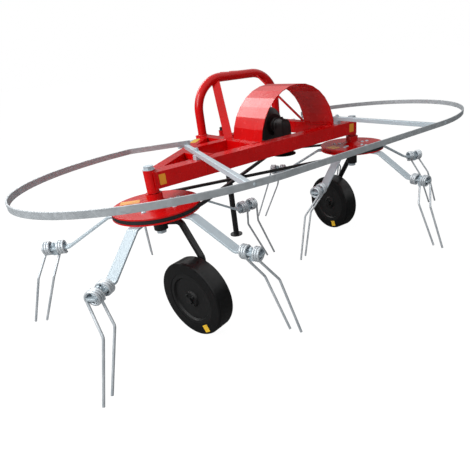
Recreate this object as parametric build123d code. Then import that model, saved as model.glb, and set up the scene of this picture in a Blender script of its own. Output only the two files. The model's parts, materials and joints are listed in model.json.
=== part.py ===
from build123d import *
import os
from math import asin, atan2, cos, degrees, pi, radians, sin, sqrt, tan

# Two-rotor rotary hay rake for a small tractor, in millimetres.
# +X runs along the beam to the right-hand rotor, +Y points at the tractor, +Z is up.
# The origin is on the floor under the middle of the whole reach. The numbers below count X from half way
# between the rotor axes, and save() moves every piece over by REACH_CENTRE.

REACH_CENTRE = 25.45

# Rotors
ROTOR_SPACING = 1120.0
ARM_COUNT = 5
REST_ANGLE_LEFT = 143.9
REST_ANGLE_RIGHT = 197.0
PLATE_TOP = 497.0
PLATE_THICKNESS = 5.0
RIM_RADIUS = 160.0
RIM_BOTTOM = 472.0
RIM_BACK_RADIUS = 136.0
LIP_THICKNESS = 4.0
GROOVE_TAPER = 2.0
FLANGE_RADIUS = 104.0
FLANGE_THICKNESS = 5.0
BOSS_RADIUS = 30.0
BOSS_BOTTOM = 450.0

# Belt and drive pulley
GROOVE_RADIUS = 147.0
BELT_LEVEL = 484.5
BELT_HEIGHT = 13.0
BELT_TAPER = 2.0
BELT_THICKNESS = 11.0
BELT_BED_GAP = 1.5
BELT_FLANK_GAP = 0.9
BELT_LEAD_ROTOR = 80.0
BELT_LEAD_PULLEY = 45.0
PULLEY_LEVEL = 514.0
PULLEY_GROOVE_RADIUS = 45.0
PULLEY_LIP = 13.0

# Axle pins through the rotors
AXLE_RADIUS = 12.5
RUNNING_GAP = 0.05
AXLE_NUT_RADIUS = 19.0
AXLE_NUT_HEIGHT = 11.0
WASHER_RADIUS = 21.0
WASHER_HEIGHT = 3.0

# Arms and spring tines, measured from the rotor axis
ARM_WIDTH = 40.0
ARM_THICKNESS = 8.0
ARM_TIP_WIDTH = 34.0
ARM_NECK = 360.0
ARM_INNER_END = 45.0
ARM_SHOULDER = 176.0
ARM_FOOT = 346.0
ARM_TIP = 460.0
ARM_BEND_RADIUS = 26.0
COIL_LEVEL = 369.0
COIL_RADIUS = 22.0
COIL_INNER_PLACE = 378.0
COIL_OUTER_PLACE = 434.0
COIL_TURNS = 3
WIRE = 8.0
WIRE_SIDES = 8
COIL_SIDES = 16
COIL_GROOVE = 1.8
TURN_GAP = 0.6
KNEE_INNER_PLACE = 425.0
KNEE_OUTER_PLACE = 483.0
KNEE_SIDE = 34.0
KNEE_LEVEL = 267.0
TIP_INNER_PLACE = 513.0
TIP_OUTER_PLACE = 557.0
TIP_SIDE = 28.0
TIP_LEVEL = 77.0
CLAMP_WIDTH = 16.0
CLAMP_BOLT_RADIUS = 6.0
CLAMP_HEAD_RADIUS = 10.0
CLAMP_HEAD_HEIGHT = 8.0

# Frame
WELD_GAP = 0.3
RUN_GAP = 3.0
BEAM_SIZE = 60.0
BEAM_TOP = 615.0
BEAM_WALL = 4.0
RAIL_WIDTH = 50.0
RAIL_HEIGHT = 60.0
BRACE_WIDTH = 44.0
BRACE_HEIGHT = 50.0
TUBE_WALL = 4.0
HITCH_X = 204.0
RAIL_OFFSET = 250.0
RAIL_REAR = 486.0
CROSSBAR_PLACE = 459.0
CROSSBAR_TOP = 590.0
CROSSBAR_HEIGHT = 45.0
BRACE_LEFT_END = 425.0
BRACE_RIGHT_END = 262.0
MID_BAR_PLACE = 241.0
CROSS_STUB_X = -295.0
HUB_RADIUS = 22.0
HUB_TOP = 623.0
HUB_BOTTOM = 541.0

# Hitch
TOWER_RADIUS = 21.0
TOWER_WALL = 4.0
TOWER_TOP = 872.0
TOWER_BEND_RADIUS = 150.0
STRAP_WIDTH = 40.0
STRAP_THICKNESS = 8.0
STRAP_FOOT_PLACE = 262.0
STRAP_TOP_OFFSET = 132.0
STRAP_TOP_DROP = 9.0
PIN_LEVEL = 585.0
PIN_PLACE = 462.0
PIN_RADIUS = 11.0
PIN_LENGTH = 52.0
PIN_BOSS_RADIUS = 17.0
PIN_SHOULDER_SPAN = 683.0
LUG_THICKNESS = 10.0
LUG_GAP = 50.0
LUG_HEIGHT = 40.0
LUG_REAR = 561.0
LUG_HOLE_RADIUS = 9.75
LUG_HOLE_PLACE = 539.0

# Drive
GEARBOX_PLACE = 135.0
GEARBOX_WIDTH = 70.0
GEARBOX_LENGTH = 90.0
GEARBOX_TOP = 684.0
GEARBOX_PLATE_WIDTH = 150.0
GEARBOX_PLATE_REAR = 190.0
GEARBOX_PLATE_TOP = 566.0
GEARBOX_PLATE_THICKNESS = 8.0
PTO_LEVEL = 640.0
PTO_RADIUS = 17.45
PTO_END = 272.0
PTO_SHOULDER_RADIUS = 20.0
PTO_SHOULDER_END = 196.0
PTO_NECK_RADIUS = 26.0
OUTPUT_RADIUS = 12.0
OUTPUT_DROP = 44.0
CONE_START = 190.0
CONE_END = 292.0
CONE_SMALL_RADIUS = 50.0
CONE_LARGE_RADIUS = 82.0
CONE_WALL = 4.0

# Drive guard, a bent sheet over the gearbox
ARCH_RADIUS = 235.0
ARCH_CENTRE_LEVEL = 592.0
ARCH_FRONT = 13.0
ARCH_REAR = 217.0
ARCH_SHEET = 3.0
ARCH_FACETS = 14
ARCH_LIP = 20.0

# Guard hoop and its struts
HOOP_HALF_STRAIGHT = 391.0
HOOP_REACH_LEFT = 634.0
HOOP_REACH_RIGHT = 585.0
HOOP_HALF_DEPTH = 395.0
HOOP_PLACE = -166.0
HOOP_TOP = 671.0
HOOP_HEIGHT = 28.0
HOOP_THICKNESS = 5.0
HOOP_REAR_DEPTH_LEFT = 412.0
HOOP_REAR_DEPTH_RIGHT = 466.0
HOOP_RIGHT_BEND_X = 575.0
HOOP_RIGHT_END_X = 440.0
HOOP_RIGHT_END_Y = 243.0
HOOP_LEFT_BEND_X = -520.0
HOOP_LEFT_END_X = -296.0
HOOP_LEFT_END_Y = 150.0
STRUT_SIZE = 18.0
STRUT_WALL = 2.0
STRUT_TOP = 650.0
STRUT_LEFT_X = -359.0
STRUT_LEFT_ANGLE = 16.2
STRUT_RIGHT_X = 447.0
STRUT_RIGHT_ANGLE = 1.0
STRUT_PAD = 24.0
STRUT_BOLT_RADIUS = 5.0

# Castors and wheels
CASTOR_ANGLE_LEFT = -77.2
CASTOR_ANGLE_RIGHT = 85.0
TRAIL = 143.0
WHEEL_RADIUS = 150.0
WHEEL_WIDTH = 74.0
WHEEL_SIDE = 8.0
TYRE_DEPTH = 46.0
RIM_FACE_INSET = 2.0
RIM_RECESS = 8.0
RIM_RECESS_RADIUS = 90.0
HUB_SHELL_RADIUS = 30.0
HUB_SHELL_LENGTH = 70.0
WHEEL_AXLE_RADIUS = 10.0
CASTOR_BLOCK_RADIUS = 26.0
CASTOR_BLOCK_TOP = 444.0
CASTOR_BLOCK_BOTTOM = 398.0
CASTOR_TUBE_RADIUS = 13.0
CASTOR_SHOULDER_LEVEL = 420.0
CASTOR_ELBOW = 54.0
CASTOR_START = 22.0
CASTOR_KNEE_LEVEL = 285.0
CASTOR_KNEE = 140.0

# Parking stand
STAND_RADIUS = 16.0
STAND_SLEEVE_WALL = 6.0
STAND_X = 110.0
STAND_TOP = 625.0
STAND_SLEEVE_TOP = 610.0
STAND_SLEEVE_BOTTOM = 535.0
STAND_FOOT_RADIUS = 36.0
STAND_FOOT_THICKNESS = 6.0
STAND_SCREW_RADIUS = 6.0
STAND_SCREW_LENGTH = 26.0
STAND_BAR_RADIUS = 4.0
STAND_BAR_LENGTH = 50.0

# Places that follow from the sizes above
AXIS_X = ROTOR_SPACING / 2
BEAM_BACK = BEAM_SIZE / 2
RAIL_LEFT_X = HITCH_X - RAIL_OFFSET
RAIL_RIGHT_X = HITCH_X + RAIL_OFFSET
STRUT_LEVEL = STRUT_TOP - STRUT_SIZE / 2
COIL_OUTSIDE = COIL_RADIUS + WIRE / 2
COIL_BORE = COIL_RADIUS - WIRE / 2
WHEEL_LEVEL = WHEEL_RADIUS
LEG_SIDE = WHEEL_SIDE - WHEEL_WIDTH / 2 - 8.0 - CASTOR_TUBE_RADIUS
STAND_SLEEVE_RADIUS = STAND_RADIUS + STAND_SLEEVE_WALL
STAND_PLACE = CROSSBAR_PLACE + RAIL_WIDTH / 2 + WELD_GAP + STAND_SLEEVE_RADIUS

# side, rest angle of the first arm, castor angle
SIDES = {
    "left": (-1, REST_ANGLE_LEFT, CASTOR_ANGLE_LEFT),
    "right": (1, REST_ANGLE_RIGHT, CASTOR_ANGLE_RIGHT),
}


def upright(radius, bottom, top, x=0.0, y=0.0):
    """Solid round bar standing on the floor plan at (x, y)."""
    return Pos(x, y, (bottom + top) / 2) * Cylinder(radius, top - bottom)


def level_plane(start, end, level):
    """Plane across a level bar, its normal running from start to end."""
    along = Vector(end[0] - start[0], end[1] - start[1], 0)
    across = Vector(along.Y, -along.X, 0)
    return Plane(origin=(start[0], start[1], level), x_dir=across, z_dir=along)


def level_length(start, end):
    return sqrt((end[0] - start[0]) ** 2 + (end[1] - start[1]) ** 2)


def box_tube(start, end, width, height, top, wall):
    """Level rectangular tube between two plan points, its upper face at top."""
    section = Rectangle(width, height) - Rectangle(width - 2 * wall, height - 2 * wall)
    plane = level_plane(start, end, top - height / 2)
    return extrude(plane * section, level_length(start, end))


def box_room(start, end, width, height, top):
    """Block that a level tube fills, one weld gap larger all round."""
    plane = level_plane(start, end, top - height / 2)
    section = plane * Rectangle(width + 2 * WELD_GAP, height + 2 * WELD_GAP)
    return extrude(section, level_length(start, end))


def beam_room():
    return box_room((-AXIS_X, 0), (AXIS_X, 0), BEAM_SIZE, BEAM_SIZE, BEAM_TOP)


def hub_room(side):
    return upright(HUB_RADIUS + WELD_GAP, HUB_BOTTOM - 1, HUB_TOP + 1, side * AXIS_X)


def largest(shape):
    return shape.solids().sort_by(SortBy.VOLUME)[-1]


def group(pieces):
    """Separate solids kept side by side in one node."""
    return Compound([solid for piece in pieces for solid in piece.solids()])


def save(shape, node):
    export_step(Pos(-REACH_CENTRE, 0, 0) * shape, f"parts/{node}.step")


# Frame

def front_beam():
    beam = box_tube((-AXIS_X, 0), (AXIS_X, 0), BEAM_SIZE, BEAM_SIZE, BEAM_TOP, BEAM_WALL)
    return beam - hub_room(-1) - hub_room(1)


def hub_tube(side):
    """Upright tube at the beam's end that the axle pin hangs in."""
    x = side * AXIS_X
    tube = upright(HUB_RADIUS, HUB_BOTTOM, HUB_TOP, x)
    return tube - upright(AXLE_RADIUS + WELD_GAP, HUB_BOTTOM - 1, HUB_TOP + 1, x)


def rail_ends(x):
    return (x, BEAM_BACK + WELD_GAP), (x, RAIL_REAR)


def rail(x):
    return box_tube(*rail_ends(x), RAIL_WIDTH, RAIL_HEIGHT, BEAM_TOP, TUBE_WALL)


def rail_room(x):
    return box_room(*rail_ends(x), RAIL_WIDTH, RAIL_HEIGHT, BEAM_TOP)


def brace_ends(side):
    """Diagonal from a rotor hub back to its rail."""
    if side < 0:
        return (-AXIS_X, 0), (RAIL_LEFT_X, BRACE_LEFT_END)
    return (AXIS_X, 0), (RAIL_RIGHT_X, BRACE_RIGHT_END)


def brace(side):
    tube = box_tube(*brace_ends(side), BRACE_WIDTH, BRACE_HEIGHT, BEAM_TOP, TUBE_WALL)
    rail_x = RAIL_LEFT_X if side < 0 else RAIL_RIGHT_X
    return largest(tube - beam_room() - hub_room(side) - rail_room(rail_x))


def left_brace_room():
    return box_room(*brace_ends(-1), BRACE_WIDTH, RAIL_HEIGHT, BEAM_TOP)


def left_brace_x(y):
    """X of the left brace's centre line at a given Y."""
    (x0, y0), (x1, y1) = brace_ends(-1)
    return x0 + (x1 - x0) * (y - y0) / (y1 - y0)


def left_brace_y(x):
    (x0, y0), (x1, y1) = brace_ends(-1)
    return y0 + (y1 - y0) * (x - x0) / (x1 - x0)


def mid_crossbar():
    start = (left_brace_x(MID_BAR_PLACE), MID_BAR_PLACE)
    end = (RAIL_LEFT_X - RAIL_WIDTH / 2 - WELD_GAP, MID_BAR_PLACE)
    tube = box_tube(start, end, RAIL_WIDTH, RAIL_HEIGHT, BEAM_TOP, TUBE_WALL)
    return tube - left_brace_room()


def cross_stub():
    start = (CROSS_STUB_X, BEAM_BACK + WELD_GAP)
    end = (CROSS_STUB_X, left_brace_y(CROSS_STUB_X))
    tube = box_tube(start, end, RAIL_WIDTH, RAIL_HEIGHT, BEAM_TOP, TUBE_WALL)
    return tube - left_brace_room()


def rear_crossbar():
    inset = RAIL_WIDTH / 2 + WELD_GAP
    start = (RAIL_LEFT_X + inset, CROSSBAR_PLACE)
    end = (RAIL_RIGHT_X - inset, CROSSBAR_PLACE)
    return box_tube(start, end, RAIL_WIDTH, CROSSBAR_HEIGHT, CROSSBAR_TOP, TUBE_WALL)


# Hitch

def tower_line():
    """Centre line of the bent hitch tube, standing on both rails."""
    foot = BEAM_TOP + WELD_GAP
    corners = [
        (RAIL_LEFT_X, CROSSBAR_PLACE, foot),
        (RAIL_LEFT_X, CROSSBAR_PLACE, TOWER_TOP),
        (RAIL_RIGHT_X, CROSSBAR_PLACE, TOWER_TOP),
        (RAIL_RIGHT_X, CROSSBAR_PLACE, foot),
    ]
    return FilletPolyline(*corners, radius=TOWER_BEND_RADIUS)


def tower_bar(section):
    plane = Plane(origin=(RAIL_LEFT_X, CROSSBAR_PLACE, BEAM_TOP + WELD_GAP), z_dir=(0, 0, 1))
    return sweep(plane * section, path=tower_line())


def hitch_tower():
    return tower_bar(Circle(TOWER_RADIUS) - Circle(TOWER_RADIUS - TOWER_WALL))


# foot offset and top offset from the hitch centre, and the way the wide face turns
STRAPS = {
    "left": (-230.0, -STRAP_TOP_OFFSET, -1),
    "right": (268.0, STRAP_TOP_OFFSET, 1),
}


def tower_strap(foot_offset, top_offset, turn):
    """Flat stay from the tower's shoulder down to the rail."""
    foot = Vector(HITCH_X + foot_offset, STRAP_FOOT_PLACE, BEAM_TOP)
    top = Vector(HITCH_X + top_offset, CROSSBAR_PLACE, TOWER_TOP - STRAP_TOP_DROP)
    along = top - foot
    across = Vector(1, turn, 0)
    plane = Plane(origin=foot - along.normalized() * STRAP_WIDTH, x_dir=across, z_dir=along)
    bar = extrude(plane * Rectangle(STRAP_WIDTH, STRAP_THICKNESS), along.length + STRAP_WIDTH)
    depth = 4 * STRAP_WIDTH
    floor = Pos(foot.X, foot.Y, BEAM_TOP + WELD_GAP - depth / 2) * Box(2 * depth, 2 * depth, depth)
    return bar - floor - tower_bar(Circle(TOWER_RADIUS + WELD_GAP))


def lower_pin(side):
    """Shouldered lower link pin on the outside of a rail."""
    face = HITCH_X + side * (RAIL_OFFSET + RAIL_WIDTH / 2 + WELD_GAP)
    shoulder = HITCH_X + side * PIN_SHOULDER_SPAN / 2
    plane = Plane(origin=(face, PIN_PLACE, PIN_LEVEL), x_dir=(0, 1, 0), z_dir=(side, 0, 0))
    boss = extrude(plane * Circle(PIN_BOSS_RADIUS), abs(shoulder - face))
    pin = extrude(plane * Circle(PIN_RADIUS), abs(shoulder - face) + PIN_LENGTH)
    return boss + pin


def top_link_lug(side):
    inner = HITCH_X + side * LUG_GAP / 2
    middle = inner + side * LUG_THICKNESS / 2
    length = LUG_REAR - CROSSBAR_PLACE
    lug = Pos(middle, CROSSBAR_PLACE + length / 2, TOWER_TOP) * Box(LUG_THICKNESS, length, LUG_HEIGHT)
    lug = fillet(lug.edges().filter_by(Axis.X).sort_by(Axis.Y)[-2:], LUG_HEIGHT * 0.4)
    drill = Rot(0, 90, 0) * Cylinder(LUG_HOLE_RADIUS, 2 * LUG_THICKNESS)
    hole = Pos(middle, LUG_HOLE_PLACE, TOWER_TOP) * drill
    return lug - hole - tower_bar(Circle(TOWER_RADIUS + WELD_GAP))


def top_link_lugs():
    return group([top_link_lug(-1), top_link_lug(1)])


# Drive

def gearbox_plate():
    length = GEARBOX_PLATE_REAR - BEAM_BACK - WELD_GAP
    middle = BEAM_BACK + WELD_GAP + length / 2
    level = GEARBOX_PLATE_TOP - GEARBOX_PLATE_THICKNESS / 2
    plate = Pos(HITCH_X, middle, level) * Box(GEARBOX_PLATE_WIDTH, length, GEARBOX_PLATE_THICKNESS)
    plate = chamfer(plate.edges().filter_by(Axis.Z).sort_by(Axis.Y)[-2:], 24)
    hole = upright(OUTPUT_RADIUS + RUN_GAP, level - 9, level + 9, HITCH_X, GEARBOX_PLACE)
    return plate - hole


def gearbox():
    """Bevel gearbox casting with a neck for the input shaft."""
    bottom = GEARBOX_PLATE_TOP + WELD_GAP
    height = GEARBOX_TOP - bottom
    body = Pos(HITCH_X, GEARBOX_PLACE, bottom + height / 2) * Box(GEARBOX_WIDTH, GEARBOX_LENGTH, height)
    body = fillet(body.edges().filter_by(Axis.Z), 16)
    body = fillet(body.faces().sort_by(Axis.Z)[-1].edges(), 10)
    rear = GEARBOX_PLACE + GEARBOX_LENGTH / 2
    neck_end = CONE_START - WELD_GAP
    plane = Plane(origin=(HITCH_X, rear - 4, PTO_LEVEL), x_dir=(1, 0, 0), z_dir=(0, 1, 0))
    body += extrude(plane * Circle(PTO_NECK_RADIUS + 8), neck_end - rear + 4)
    bore_plane = Plane(origin=(HITCH_X, GEARBOX_PLACE, PTO_LEVEL), x_dir=(1, 0, 0), z_dir=(0, 1, 0))
    body -= extrude(bore_plane * Circle(PTO_SHOULDER_RADIUS + RUNNING_GAP), GEARBOX_LENGTH)
    return body - upright(OUTPUT_RADIUS + RUNNING_GAP, bottom - 1, PTO_LEVEL - 40, HITCH_X, GEARBOX_PLACE)


def pto_stub():
    plane = Plane(origin=(HITCH_X, GEARBOX_PLACE + 6, PTO_LEVEL), x_dir=(1, 0, 0), z_dir=(0, 1, 0))
    shaft = extrude(plane * Circle(PTO_RADIUS), PTO_END - GEARBOX_PLACE - 6)
    shaft = chamfer(shaft.faces().sort_by(Axis.Y)[-1].edges(), 3)
    return shaft + extrude(plane * Circle(PTO_SHOULDER_RADIUS), PTO_SHOULDER_END - GEARBOX_PLACE - 6)


def pto_cone():
    """Plastic shield round the input shaft, open towards the tractor."""
    outer = [
        (PTO_NECK_RADIUS, CONE_START),
        (CONE_SMALL_RADIUS, CONE_START),
        (CONE_LARGE_RADIUS, CONE_START + 38),
        (CONE_LARGE_RADIUS, CONE_END),
    ]
    inner = [
        (CONE_LARGE_RADIUS - CONE_WALL, CONE_END),
        (CONE_LARGE_RADIUS - CONE_WALL, CONE_START + 40),
        (CONE_SMALL_RADIUS - 2, CONE_START + CONE_WALL),
        (PTO_NECK_RADIUS, CONE_START + CONE_WALL),
    ]
    profile = make_face(Polyline(*outer, *inner, close=True))
    turned = revolve(profile, axis=Axis.Y)
    return Pos(HITCH_X, 0, PTO_LEVEL) * turned


def pulley_profile(bottom_radius, lip_radius, level, bore, boss_radius, top, bottom):
    """Half section of a grooved pulley, from its bore out to its lips."""
    half = BELT_HEIGHT / 2 + BELT_FLANK_GAP
    return Polyline(
        (bore, bottom),
        (boss_radius, bottom),
        (lip_radius, level - half - LIP_THICKNESS),
        (lip_radius, level - half),
        (bottom_radius, level - half + GROOVE_TAPER),
        (bottom_radius, level + half - GROOVE_TAPER),
        (lip_radius, level + half),
        (lip_radius, level + half + LIP_THICKNESS),
        (boss_radius, top),
        (bore, top),
        close=True,
    )


def drive_pulley():
    """Small pulley on the gearbox's output shaft."""
    half = BELT_HEIGHT / 2 + BELT_FLANK_GAP + LIP_THICKNESS
    outline = pulley_profile(
        PULLEY_GROOVE_RADIUS, PULLEY_GROOVE_RADIUS + PULLEY_LIP, PULLEY_LEVEL,
        0, OUTPUT_RADIUS + 8, PULLEY_LEVEL + half, PULLEY_LEVEL - half,
    )
    wheel = revolve(Plane.XZ * make_face(outline), axis=Axis.Z)
    wheel += upright(OUTPUT_RADIUS, PULLEY_LEVEL, PTO_LEVEL - OUTPUT_DROP)
    return Pos(HITCH_X, GEARBOX_PLACE, 0) * wheel


def drive_guard():
    """Sheet arch in flat facets over the gearbox, with a lip on each rail."""
    foot = BEAM_TOP + WELD_GAP
    first = asin((foot - ARCH_CENTRE_LEVEL) / ARCH_RADIUS)
    step = (pi - 2 * first) / ARCH_FACETS
    angles = [first + step * i for i in range(ARCH_FACETS + 1)]
    inner_radius = ARCH_RADIUS - ARCH_SHEET / cos(step / 2)
    outer = [(ARCH_RADIUS * cos(a), ARCH_CENTRE_LEVEL + ARCH_RADIUS * sin(a)) for a in angles]
    inner = [(inner_radius * cos(a), ARCH_CENTRE_LEVEL + inner_radius * sin(a)) for a in angles[1:-1]]
    lip_x = ARCH_RADIUS * cos(first) - ARCH_LIP
    wall_x = ARCH_RADIUS * cos(first) - ARCH_SHEET
    right_lip = [(lip_x, foot), (lip_x, foot + ARCH_SHEET), (wall_x, foot + ARCH_SHEET)]
    left_lip = [(-x, z) for x, z in right_lip]
    sheet = make_face(Polyline(*outer, *left_lip, *reversed(inner), *reversed(right_lip), close=True))
    plane = Plane(origin=(HITCH_X, ARCH_REAR, 0), x_dir=(1, 0, 0), z_dir=(0, -1, 0))
    return extrude(plane * sheet, ARCH_REAR - ARCH_FRONT)


# Belt

def tangent(centre_a, radius_a, side_a, centre_b, radius_b, side_b):
    """Straight run between two circles: its two ends and its direction angle."""
    dx = centre_b[0] - centre_a[0]
    dy = centre_b[1] - centre_a[1]
    span = sqrt(dx * dx + dy * dy)
    angle = atan2(dy, dx) - asin((side_a * radius_a - side_b * radius_b) / span)
    nx, ny = -sin(angle), cos(angle)
    start = (centre_a[0] + side_a * radius_a * nx, centre_a[1] + side_a * radius_a * ny)
    end = (centre_b[0] + side_b * radius_b * nx, centre_b[1] + side_b * radius_b * ny)
    return start, end, angle


def belt_section():
    """V-belt section, its narrow side towards -X."""
    half = BELT_THICKNESS / 2
    wide = BELT_HEIGHT / 2
    narrow = wide - BELT_TAPER
    return make_face(Polyline((-half, -narrow), (half, -wide), (half, wide), (-half, narrow), close=True))


def belt_run(run, first, last):
    """Straight stretch of belt; first and last give level, lead and wide side at each end."""
    start, end, angle = run
    ahead = Vector(cos(angle), sin(angle), 0)
    sections = []
    for (x, y), (level, lead, out), way in ((start, first, 1), (end, last, -1)):
        across = (-sin(angle) * out, cos(angle) * out, 0)
        at_wheel = Vector(x, y, level)
        for place in (at_wheel, at_wheel + ahead * (lead * way)):
            sections.append(Plane(origin=place, x_dir=across, z_dir=ahead) * belt_section())
    stretch = loft([sections[0], sections[1]], ruled=True)
    stretch += loft([sections[1], sections[3]], ruled=True)
    return stretch + loft([sections[3], sections[2]], ruled=True)


def belt_wrap(centre, radius, start_angle, sweep_angle, level):
    """Stretch of belt lying round a pulley, angles in radians."""
    section = Plane.XZ * Pos(radius, level) * belt_section()
    turned = revolve(section, axis=Axis.Z, revolution_arc=degrees(sweep_angle))
    return Pos(centre[0], centre[1], 0) * Rot(0, 0, degrees(start_angle)) * turned


def drive_belt():
    """Crossed V-belt round both rotors, led past the drive pulley."""
    line = GROOVE_RADIUS + BELT_BED_GAP + BELT_THICKNESS / 2
    pulley_line = PULLEY_GROOVE_RADIUS + BELT_BED_GAP + BELT_THICKNESS / 2
    left, right = (-AXIS_X, 0), (AXIS_X, 0)
    pulley = (HITCH_X, GEARBOX_PLACE)
    rising = tangent(left, line, -1, pulley, pulley_line, 1)
    falling = tangent(pulley, pulley_line, 1, right, line, 1)
    crossing = tangent(left, line, 1, right, line, -1)
    at_rotor = (BELT_LEVEL, BELT_LEAD_ROTOR)
    at_pulley = (PULLEY_LEVEL, BELT_LEAD_PULLEY)
    belt = belt_run(rising, (*at_rotor, -1), (*at_pulley, 1))
    belt += belt_run(falling, (*at_pulley, 1), (*at_rotor, 1))
    belt += belt_run(crossing, (*at_rotor, 1), (*at_rotor, -1))
    quarter = pi / 2
    belt += belt_wrap(left, line, crossing[2] + quarter, pi + rising[2] - crossing[2], BELT_LEVEL)
    belt += belt_wrap(pulley, pulley_line, falling[2] + quarter, rising[2] - falling[2], PULLEY_LEVEL)
    belt += belt_wrap(right, line, crossing[2] - quarter, pi + falling[2] - crossing[2], BELT_LEVEL)
    return belt


# Guard hoop

def hoop_size(side):
    """How far the hoop's rounded end reaches sideways and to the rear."""
    if side < 0:
        return HOOP_REACH_LEFT, HOOP_REAR_DEPTH_LEFT
    return HOOP_REACH_RIGHT, HOOP_REAR_DEPTH_RIGHT


def half_ellipse(side, inset):
    """Rounded end of the hoop, which bulges further at the rear than at the front."""
    reach, rear_depth = hoop_size(side)
    front = Ellipse(reach - inset, HOOP_HALF_DEPTH - inset)
    rear = Ellipse(reach - inset, rear_depth - inset)
    depth = HOOP_HALF_DEPTH + rear_depth
    rear_half = Pos(0, depth / 2) * Rectangle(2 * reach, depth)
    return Pos(side * HOOP_HALF_STRAIGHT, HOOP_PLACE) * ((front - rear_half) + (rear & rear_half))


def hoop_outline(inset):
    depth = 2 * (HOOP_HALF_DEPTH - inset)
    middle = Pos(0, HOOP_PLACE) * Rectangle(2 * HOOP_HALF_STRAIGHT, depth)
    return half_ellipse(-1, inset) + middle + half_ellipse(1, inset)


def hoop_bend(side):
    """Outer corner where the hoop's rear end turns in towards its strut."""
    x = HOOP_LEFT_BEND_X if side < 0 else HOOP_RIGHT_BEND_X
    reach, rear_depth = hoop_size(side)
    share = (abs(x) - HOOP_HALF_STRAIGHT) / reach
    return x, HOOP_PLACE + rear_depth * sqrt(1 - share * share)


def turned_end(side):
    """Straight rear end of the hoop, from its bend to the strut."""
    bend_x, bend_y = hoop_bend(side)
    end_x, end_y = HOOP_LEFT_END_X, HOOP_LEFT_END_Y
    if side > 0:
        end_x, end_y = HOOP_RIGHT_END_X, HOOP_RIGHT_END_Y
    lean = sqrt((end_x - bend_x) ** 2 + (end_y - bend_y) ** 2) / abs(end_x - bend_x)
    depth = HOOP_THICKNESS * lean
    return make_face(Polyline(
        (bend_x, bend_y),
        (end_x, end_y),
        (end_x, end_y - depth),
        (bend_x, bend_y - depth),
        close=True,
    ))


def guard_hoop():
    """Flat strip on edge round the tines, open where the drive shaft comes in."""
    ring = hoop_outline(0) - hoop_outline(HOOP_THICKNESS)
    gap_width = HOOP_RIGHT_BEND_X - HOOP_LEFT_BEND_X
    gap_place = Pos(HOOP_LEFT_BEND_X + gap_width / 2, HOOP_PLACE + HOOP_REAR_DEPTH_RIGHT)
    ring -= gap_place * Rectangle(gap_width, HOOP_REAR_DEPTH_RIGHT)
    strip = Plane(origin=(0, 0, HOOP_TOP - HOOP_HEIGHT)) * (ring + turned_end(-1) + turned_end(1))
    return extrude(strip, HOOP_HEIGHT)


def strut_line(x, angle, rear_y):
    """Plan line of a strut over the beam, from inside the hoop's front to its rear."""
    front_y = HOOP_PLACE - HOOP_HALF_DEPTH
    slope = tan(radians(angle))
    return (x + front_y * slope, front_y), (x + rear_y * slope, rear_y)


def strut_ends(side):
    if side < 0:
        return strut_line(STRUT_LEFT_X, STRUT_LEFT_ANGLE, HOOP_LEFT_END_Y + STRUT_SIZE)
    return strut_line(STRUT_RIGHT_X, STRUT_RIGHT_ANGLE, HOOP_RIGHT_END_Y + STRUT_SIZE)


def hoop_end_room(side):
    """Everything behind the front face of the hoop's turned end, one gap wider."""
    bend_x, bend_y = hoop_bend(side)
    end_x, end_y = HOOP_LEFT_END_X, HOOP_LEFT_END_Y
    if side > 0:
        end_x, end_y = HOOP_RIGHT_END_X, HOOP_RIGHT_END_Y
    slope = (end_y - bend_y) / (end_x - bend_x)
    lean = sqrt(1 + slope * slope)
    depth = (HOOP_THICKNESS + WELD_GAP) * lean
    far_x = end_x - side * 4 * STRUT_SIZE
    far_y = end_y + slope * (far_x - end_x)
    region = make_face(Polyline(
        (bend_x, bend_y - depth),
        (far_x, far_y - depth),
        (far_x, far_y + HOOP_HALF_DEPTH),
        (bend_x, bend_y + HOOP_HALF_DEPTH),
        close=True,
    ))
    return extrude(Plane(origin=(0, 0, STRUT_TOP - 2 * STRUT_SIZE)) * region, 4 * STRUT_SIZE)


def hoop_strut(side):
    tube = box_tube(*strut_ends(side), STRUT_SIZE, STRUT_SIZE, STRUT_TOP, STRUT_WALL)
    low_plane = Plane(origin=(0, 0, STRUT_TOP - 2 * STRUT_SIZE))
    inside = extrude(low_plane * hoop_outline(HOOP_THICKNESS + WELD_GAP), 4 * STRUT_SIZE)
    size = (4 * HOOP_REACH_LEFT, 2 * HOOP_HALF_DEPTH, 8 * STRUT_SIZE)
    ahead = Pos(0, HOOP_PLACE - HOOP_HALF_DEPTH, STRUT_TOP) * Box(*size)
    tube -= ahead - inside
    return largest(tube - hoop_end_room(side))


def strut_bolt(x):
    """Pad and bolt that hold a strut on top of the beam."""
    height = STRUT_TOP - STRUT_SIZE - BEAM_TOP - 2 * WELD_GAP
    pad = Pos(x, 0, BEAM_TOP + WELD_GAP + height / 2) * Box(STRUT_PAD, STRUT_PAD, height)
    head = upright(STRUT_BOLT_RADIUS + 4, STRUT_TOP + WELD_GAP, STRUT_TOP + 6, x)
    return group([pad, head])


# Rotors

def axle_pin(side):
    """Fixed pin through hub and rotor, with a washer and nut on top."""
    x = side * AXIS_X
    pin = upright(AXLE_RADIUS, CASTOR_BLOCK_BOTTOM - AXLE_NUT_HEIGHT - 4, HUB_TOP + WASHER_HEIGHT, x)
    washer = upright(WASHER_RADIUS, HUB_TOP + WELD_GAP, HUB_TOP + WASHER_HEIGHT, x)
    flats = RegularPolygon(AXLE_NUT_RADIUS, 6)
    top_nut = extrude(Plane(origin=(x, 0, HUB_TOP + WASHER_HEIGHT)) * flats, AXLE_NUT_HEIGHT)
    low = CASTOR_BLOCK_BOTTOM - AXLE_NUT_HEIGHT - RUN_GAP
    low_nut = extrude(Plane(origin=(x, 0, low)) * flats, AXLE_NUT_HEIGHT)
    return pin + washer + top_nut + low_nut


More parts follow.
